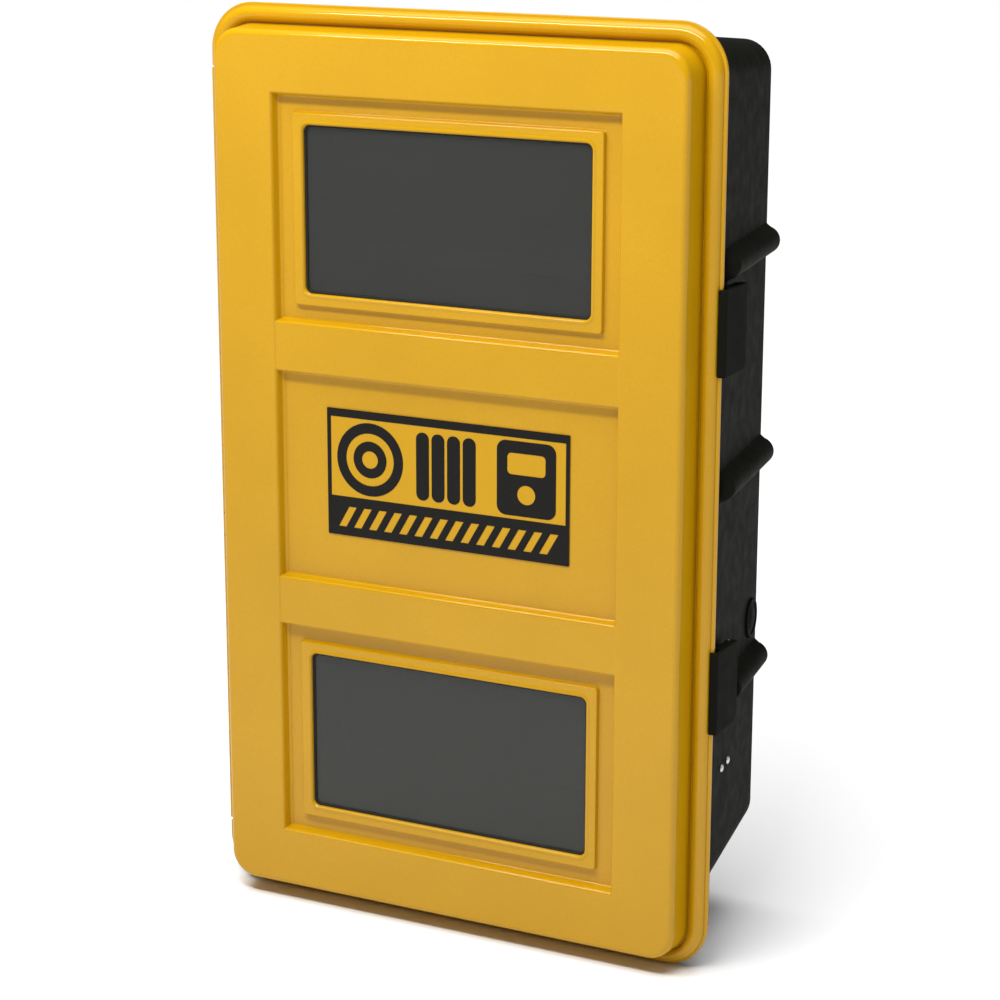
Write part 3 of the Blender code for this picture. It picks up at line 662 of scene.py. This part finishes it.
# ---------------------------------------------------------------- windows
def windows():
    """Gasket and tinted pane of each window, and the retainer frame behind them."""
    for which, centre in (("upper", WINDOW_Z), ("lower", -WINDOW_Z)):
        low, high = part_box(f"{which}_window_gasket")
        lip_in, lip_y, lip_r, seat, outer = -0.0022, low.y + 0.0012, 0.0055, 0.0035, 0.0062
        section = [(lip_in, lip_y), (lip_in, low.y + 0.0005), (lip_in + 0.0004, low.y), (outer, low.y),
                   (outer, high.y), (seat, high.y), (seat, lip_y + 0.0001)]
        rings = [window_ring(centre, m, y, lip_r if m < 0 else None) for m, y in section]
        piece(f"{which}_gasket_ring", loft(rings, closed=True), "door", RUBBER, (f"{which}_window_gasket",))
        refined(f"{which}_window_retainer", f"{which}_retainer_frame", "door", BLACK, 0.0007)
        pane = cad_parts[f"{which}_window_pane"]
        pane.data.materials.clear()
        pane.data.materials.append(PANE.material)


# ---------------------------------------------------------------- label
def flat_print(name, loops, y, thickness, finish):
    """Thin print from closed outlines in x and z; an outline inside another is a hole."""
    curve = bpy.data.curves.new(name, "CURVE")
    curve.dimensions = "2D"
    curve.fill_mode = "BOTH"
    curve.extrude = thickness / 2
    for loop in loops:
        spline = curve.splines.new("POLY")
        spline.points.add(len(loop) - 1)
        for point, (x, z) in zip(spline.points, loop):
            point.co = (x, z, 0, 1)
        spline.use_cyclic_u = True
    drawn = bpy.data.objects.new(name + "_outline", curve)
    bpy.context.scene.collection.objects.link(drawn)
    bpy.context.view_layer.update()
    mesh = bpy.data.meshes.new_from_object(drawn.evaluated_get(bpy.context.evaluated_depsgraph_get()))
    bpy.data.objects.remove(drawn)
    bm = bmesh.new()
    bm.from_mesh(mesh)
    bpy.data.meshes.remove(mesh)
    bmesh.ops.remove_doubles(bm, verts=bm.verts, dist=1e-7)
    for v in bm.verts:
        x, z, across = v.co
        v.co = (x, y + across, z)
    return piece(name, bm, "door", finish, (), 30)


def flat_rect(x0, x1, z0, z1, radius):
    ring = rounded_rect((x1 - x0) / 2, z0, z1, radius, 0, 5)
    return [(p.x + (x0 + x1) / 2, p.z) for p in ring]


def flat_circle(x, z, radius):
    return arc(x, z, radius, 0, 360, 48)[:-1]


def filter_icon(x, z):
    """Round filter seen from its front: rings one inside another."""
    return [flat_circle(x, z, ICON_SIZE * share) for share in (1, 0.72, 0.50, 0.24)]


def hose_icon(x, z):
    """Corrugated hose: four upright bars."""
    bar_w, pitch, half_h = ICON_SIZE * 0.38, ICON_SIZE * 0.46, ICON_SIZE * 0.92
    starts = [x - ICON_SIZE * 0.89 + i * pitch for i in range(4)]
    return [flat_rect(left, left + bar_w, z - half_h, z + half_h, ICON_SIZE * 0.18) for left in starts]


def blower_icon(x, z):
    """Blower unit: a case with a display and a knob."""
    half_w, display_w = ICON_SIZE * 0.85, ICON_SIZE * 0.55
    return [flat_rect(x - half_w, x + half_w, z - ICON_SIZE, z + ICON_SIZE, ICON_SIZE * 0.25),
            flat_rect(x - display_w, x + display_w, z + ICON_SIZE * 0.1, z + ICON_SIZE * 0.68,
                      ICON_SIZE * 0.12),
            flat_circle(x, z - ICON_SIZE * 0.42, ICON_SIZE * 0.26)]


def label():
    """Generic label: a black frame, pictograms of what is stored, and a striped band below them."""
    low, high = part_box("label_plate")
    film_y = (low.y + high.y) / 2
    x0, x1, z0, z1 = low.x, high.x, low.z, high.z
    edge = flat_rect(x0, x1, z0, z1, 0.0012)
    film = flat_print("label_sheet", [edge], film_y, high.y - low.y, FILM)
    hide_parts("label_plate")
    print_y = low.y - LABEL_T / 2 + 0.00002
    border, top_border, band = 0.0042, 0.0082, 0.040
    shapes = [edge, flat_rect(x0 + border, x1 - border, z0 + band, z1 - top_border, 0.0008)]
    stripe, pitch, lean = 0.0085, 0.0170, 0.012
    stripe_low, stripe_high = z0 + 0.009, z0 + band - 0.010
    x = x0 + 0.012
    while x + stripe + lean < x1 - 0.006:
        shapes.append([(x, stripe_low), (x + stripe, stripe_low), (x + stripe + lean, stripe_high),
                       (x + lean, stripe_high)])
        x += pitch
    flat_print("label_frame_print", shapes, print_y, LABEL_T, INK)
    middle = (z0 + band + z1 - top_border) / 2
    icons = filter_icon(x0 + 0.048, middle) + hose_icon((x0 + x1) / 2, middle)
    icons += blower_icon(x1 - 0.046, middle)
    flat_print("label_icon_print", icons, print_y, LABEL_T, INK)


# ---------------------------------------------------------------- hinge, seal, fittings
def bar_hinge():
    """Continuous hinge: two leaves with many short knuckles rolled round one pin."""
    pin_low, pin_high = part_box("hinge_pin")
    ax, ay = (pin_low.x + pin_high.x) / 2, (pin_low.y + pin_high.y) / 2
    half = pin_high.z
    pitch = 2 * half / HINGE_KNUCKLES
    bore = [(HINGE_PIN_R + 0.0002, -half - 0.01), (HINGE_PIN_R + 0.0002, half + 0.01)]
    leaves = (("hinge_leaf_door", "door", DOOR_BACK_Y + GAP, 1),
              ("hinge_leaf_body", "cabinet", MOUTH_FRONT_Y - GAP - LEAF_T, 0))
    for leaf_node, body, leaf_y, first in leaves:
        spans = [(-half + i * pitch + GAP, -half + (i + 1) * pitch - GAP)
                 for i in range(first, HINGE_KNUCKLES, 2)]
        plate = block(LEAF_INNER_X, LEAF_OUTER_X, leaf_y, leaf_y + LEAF_T, -half, half)
        leaf = piece(f"{leaf_node}_bar", plate)
        barrel = arc(ax, ay, HINGE_R, 0, 360, 24)[:-1]
        arm_x = LEAF_OUTER_X + 0.0005
        arm = ((ax, leaf_y), (arm_x, leaf_y), (arm_x, leaf_y + LEAF_T), (ax, leaf_y + LEAF_T))
        for section in (barrel, arm):
            rows = bmesh.new()
            for span in spans:
                add_loft(rows, [[Vector((x, y, z)) for x, y in section] for z in span])
            join(leaf, rows)
        cut(leaf, turned(bore, (ax, ay, 0), (0, 0, 1), 24))
        settle(leaf, body, PAINTED, (leaf_node,))
    profile = [(0.0004, -half), (0.0008, -half + 0.0002), (HINGE_PIN_R, -half + 0.0005),
               (HINGE_PIN_R, half - 0.0005), (0.0008, half - 0.0002), (0.0004, half)]
    piece("hinge_pin_rod", turned(profile, (ax, ay, 0), (0, 0, 1), 20), "cabinet", STEEL, ("hinge_pin",))


def rivet(node, body, axis):
    """Rivet of the CAD one's length and width along its axis: domed, or flush where it is narrow."""
    axis = Vector(axis).normalized()
    points = [v.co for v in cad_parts[node].data.vertices]
    along = [p.dot(axis) for p in points]
    low, high = min(along), max(along)
    middle = sum(points, Vector()) / len(points)
    centre = middle - axis * middle.dot(axis)
    head_r = max((p - centre - axis * p.dot(axis)).length for p in points)
    flush = head_r < 0.0025
    if flush:
        soft = 0.0002
        profile = [(head_r - soft, low), (head_r, low + soft), (head_r, high - soft), (head_r - soft, high)]
    else:
        shank_r, dome_h, tail_h = head_r * 0.5, 0.0019, 0.0012
        dome = [(head_r * math.cos(a), high - dome_h + dome_h * math.sin(a))
                for a in (math.pi / 2 * i / 8 for i in range(8))]
        profile = [(head_r * 0.62, low), (head_r * 0.84, low + tail_h), (shank_r, low + tail_h),
                   (shank_r, high - dome_h)] + dome
    piece(f"{node}_head", turned(profile, centre, axis, 28), body, STEEL, (node,))


def latch_handle(which):
    """The lever: a plate with a lip that hooks over the rim, closed ends, and two lugs on the pin."""
    node = f"{which}_latch_lever"
    low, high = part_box(node)
    pin_low, pin_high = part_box(f"{which}_latch_pin")
    axis_x, axis_y, middle = [(a + b) / 2 for a, b in zip(pin_low, pin_high)]
    pin_foot, overlap, up = (axis_x, axis_y, 0), 0.001, (0, 0, 1)
    plate_x, lip_back = high.x - LATCH_PLATE_T, low.y + LATCH_LIP_T
    small, large, front_r = 0.003, 0.009, 0.001
    plate_edge = (arc(high.y - small, high.z - small, small, 0, 90)
                  + arc(lip_back, high.z - front_r, front_r, 90, 180)
                  + arc(lip_back, low.z + front_r, front_r, 180, 270)
                  + arc(high.y - large, low.z + large, large, 270, 360, 12))
    plate = loft([[Vector((x, y, z)) for y, z in plate_edge] for x in (plate_x, high.x)])
    handle = piece(f"{which}_latch_handle", eased(plate, 0.0009))
    join(handle, eased(block(LATCH_LIP_X, high.x, low.y, lip_back, low.z, high.z), 0.0014, 4))
    for z0, rear in ((low.z, high.y - large), (high.z - LATCH_CHEEK_T, high.y - small)):
        join(handle, eased(block(LATCH_CHEEK_X, plate_x + overlap, LATCH_CHEEK_FRONT_Y, rear,
                                 z0, z0 + LATCH_CHEEK_T), 0.0006))
    bracket_half, web_half = 0.0183, 0.0034
    for z0, z1 in ((low.z + 0.004, middle - bracket_half), (middle + bracket_half, high.z - 0.001)):
        join(handle, turned([(LATCH_LUG_R, z0), (LATCH_LUG_R, z1)], pin_foot, up, 24),
             block(axis_x, plate_x + overlap, axis_y - web_half, axis_y + web_half, z0, z1))
    bore = [(LATCH_PIN_HOLE_R, low.z - 0.01), (LATCH_PIN_HOLE_R, high.z + 0.01)]
    cut(handle, turned(bore, pin_foot, up, 24))
    settle(handle, f"{which}_latch", BLACK, (node,))


def blanking_plug():
    """Snap-in plug with a raised ring round its dished middle."""
    axis = Vector((1.0, DRAFT, 0.0)).normalized()
    centre = Vector((side_x(PLUG_Y), PLUG_Y, PLUG_Z))
    r, ring_y, ring_r = PLUG_R, 0.0013, 0.0011
    barb = [(r - 0.0045, -0.0062), (r - 0.001, -0.0048), (r - 0.0035, -WALL - 0.0004), (r - 0.0035, 0.0003)]
    ring = [(r - ring_r + u, ring_y + v) for u, v in arc(0, 0, ring_r, 0, 90, 4)]
    ring += [(r - 0.0030 + u, ring_y + v) for u, v in arc(0, 0, ring_r, 90, 170, 4)]
    dish = [(r - 0.0055, 0.0010), (r - 0.0078, 0.0012), (r - 0.0090, 0.0019), (0.0060, 0.0027),
            (0.0020, 0.0028)]
    piece("blanking_plug_cap", turned(barb + [(r, 0.0003)] + ring + dish, centre, axis, 64),
          "cabinet", BLACK, ("blanking_plug",))


def door_seal():
    """Rubber seal with a rounded crown, stuck to the back of the door's rim."""
    low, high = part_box("door_seal")
    inner, outer = RIM_HALF_W - SEAL_OUTER_HALF_W, RIM_HALF_W - SEAL_INNER_HALF_W
    mid, half = (inner + outer) / 2, (outer - inner) / 2
    section = [(mid - half * math.cos(a), low.y + (high.y - low.y) * math.sin(a) ** 0.6 if a else low.y)
               for a in (math.pi * i / 14 for i in range(15))]
    rings = [rounded_rect(RIM_HALF_W - m, door_low.z + m, door_high.z - m, SEAL_R - (m - inner) * 0.8, y, 12)
             for m, y in section]
    piece("door_seal_strip", loft(rings, closed=True), "door", RUBBER, ("door_seal",))


def screw(node):
    """Pan-head screw with a cross recess."""
    low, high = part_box(node)
    centre = ((low.x + high.x) / 2, 0, (low.z + high.z) / 2)
    head_r, head_t, shank_r = (high.x - low.x) / 2, 0.0016, 0.0011
    head_y = high.y - head_t
    dome = [(head_r * math.cos(a), head_y + head_t * math.sin(a))
            for a in (math.pi / 2 * i / 7 for i in range(7))]
    shank = [(0.0008, low.y), (shank_r, low.y + 0.001), (shank_r, head_y)]
    made = piece(f"{node}_head", turned(shank + dome, centre, (0, 1, 0), 28))
    slot_half, slot_w = head_r * 0.62, 0.00035
    for across, up in ((slot_half, slot_w), (slot_w, slot_half)):
        cut(made, block(centre[0] - across, centre[0] + across, high.y - 0.0007, high.y + 0.001,
                        centre[2] - up, centre[2] + up))
    settle(made, "door", STEEL, (node,))


# ---------------------------------------------------------------- assembly
door_moulding()
cabinet_body()
windows()
label()
bar_hinge()
blanking_plug()
door_seal()
for which in ("upper", "lower"):
    refined(f"{which}_shelf", f"{which}_shelf_tray", "cabinet", SHELF, 0.0008)
    latch_handle(which)
    refined(f"{which}_latch_base", f"{which}_latch_bracket", "cabinet", BLACK, 0.0004)
    refined(f"{which}_latch_pin", f"{which}_latch_rod", "cabinet", STEEL, 0.0002)
    for number in (1, 2):
        rivet(f"{which}_latch_rivet_{number}", "cabinet", (1, DRAFT, 0))
    for number in range(1, 5):
        screw(f"{which}_retainer_screw_{number}")
for end in ("front", "rear"):
    rivet(f"side_rivet_{end}", "cabinet", (1, DRAFT, 0))
for number in range(1, 6):
    rivet(f"door_hinge_rivet_{number}", "door", (0, 1, 0))
    rivet(f"body_hinge_rivet_{number}", "cabinet", (0, 1, 0))
refined("rivet_backing_strip", "rivet_backing_plate", "cabinet", STEEL, 0.0004)

# ---------------------------------------------------------------- studio
def studio_slab(half_w, thickness):
    """Floor just below the door's foot, which is the lowest point of the object."""
    top = door_low.z - 0.0005
    slab = piece("studio_floor", block(-half_w, half_w, -half_w, half_w, top - thickness, top))
    slab.data.materials.append(studio_floor().material)


def area_light(name, place, target, size, watts):
    data = bpy.data.lights.new(name, "AREA")
    data.shape = "RECTANGLE"
    data.size, data.size_y = size
    data.energy = watts
    lamp = bpy.data.objects.new(name, data)
    lamp.location = place
    lamp.rotation_euler = (Vector(target) - Vector(place)).to_track_quat("-Z", "Y").to_euler()
    bpy.context.scene.collection.objects.link(lamp)


def sky_light(name, elevation_deg, azimuth_deg, strength, spread_deg):
    """Broad even light from far away: the same on all of the floor."""
    data = bpy.data.lights.new(name, "SUN")
    data.energy = strength
    data.angle = math.radians(spread_deg)
    lamp = bpy.data.objects.new(name, data)
    a, e = math.radians(azimuth_deg), math.radians(elevation_deg)
    back = Vector((math.sin(a) * math.cos(e), -math.cos(a) * math.cos(e), math.sin(e)))
    lamp.rotation_euler = (-back).to_track_quat("-Z", "Y").to_euler()
    bpy.context.scene.collection.objects.link(lamp)


def studio_air(fill):
    """White backdrop, which lights the object at only a share of the strength that the camera sees."""
    world = bpy.data.worlds.new("studio_air")
    world.use_nodes = True
    background = world.node_tree.nodes["Background"]
    background.inputs["Color"].default_value = (1.0, 1.0, 1.0, 1)
    path = world.node_tree.nodes.new("ShaderNodeLightPath")
    strength = world.node_tree.nodes.new("ShaderNodeMapRange")
    strength.inputs["To Min"].default_value = fill
    world.node_tree.links.new(path.outputs["Is Camera Ray"], strength.inputs["Value"])
    world.node_tree.links.new(strength.outputs["Result"], background.inputs["Strength"])
    bpy.context.scene.world = world


studio_slab(30.0, 0.01)
sky_light("overhead_light", 86, -45, 2.95, 56)
area_light("strip_light", (-0.15, -1.1, 1.35), (0, -0.2, 0.3), (1.4, 0.16), 25)
studio_air(0.2)
bpy.context.scene.view_settings.view_transform = "Standard"

camera_data = bpy.data.cameras.new("photo_camera")
camera_data.sensor_width = 36.0
camera_data.lens = 95.577
camera_data.clip_end = 100.0
camera = bpy.data.objects.new("photo_camera", camera_data)
camera.location = (1.15909682, -2.42396685, 0.66069817)
camera.rotation_euler = [math.radians(a) for a in (75.0363626, -0.1531603, 26.5038285)]
bpy.context.scene.collection.objects.link(camera)
bpy.context.scene.camera = camera
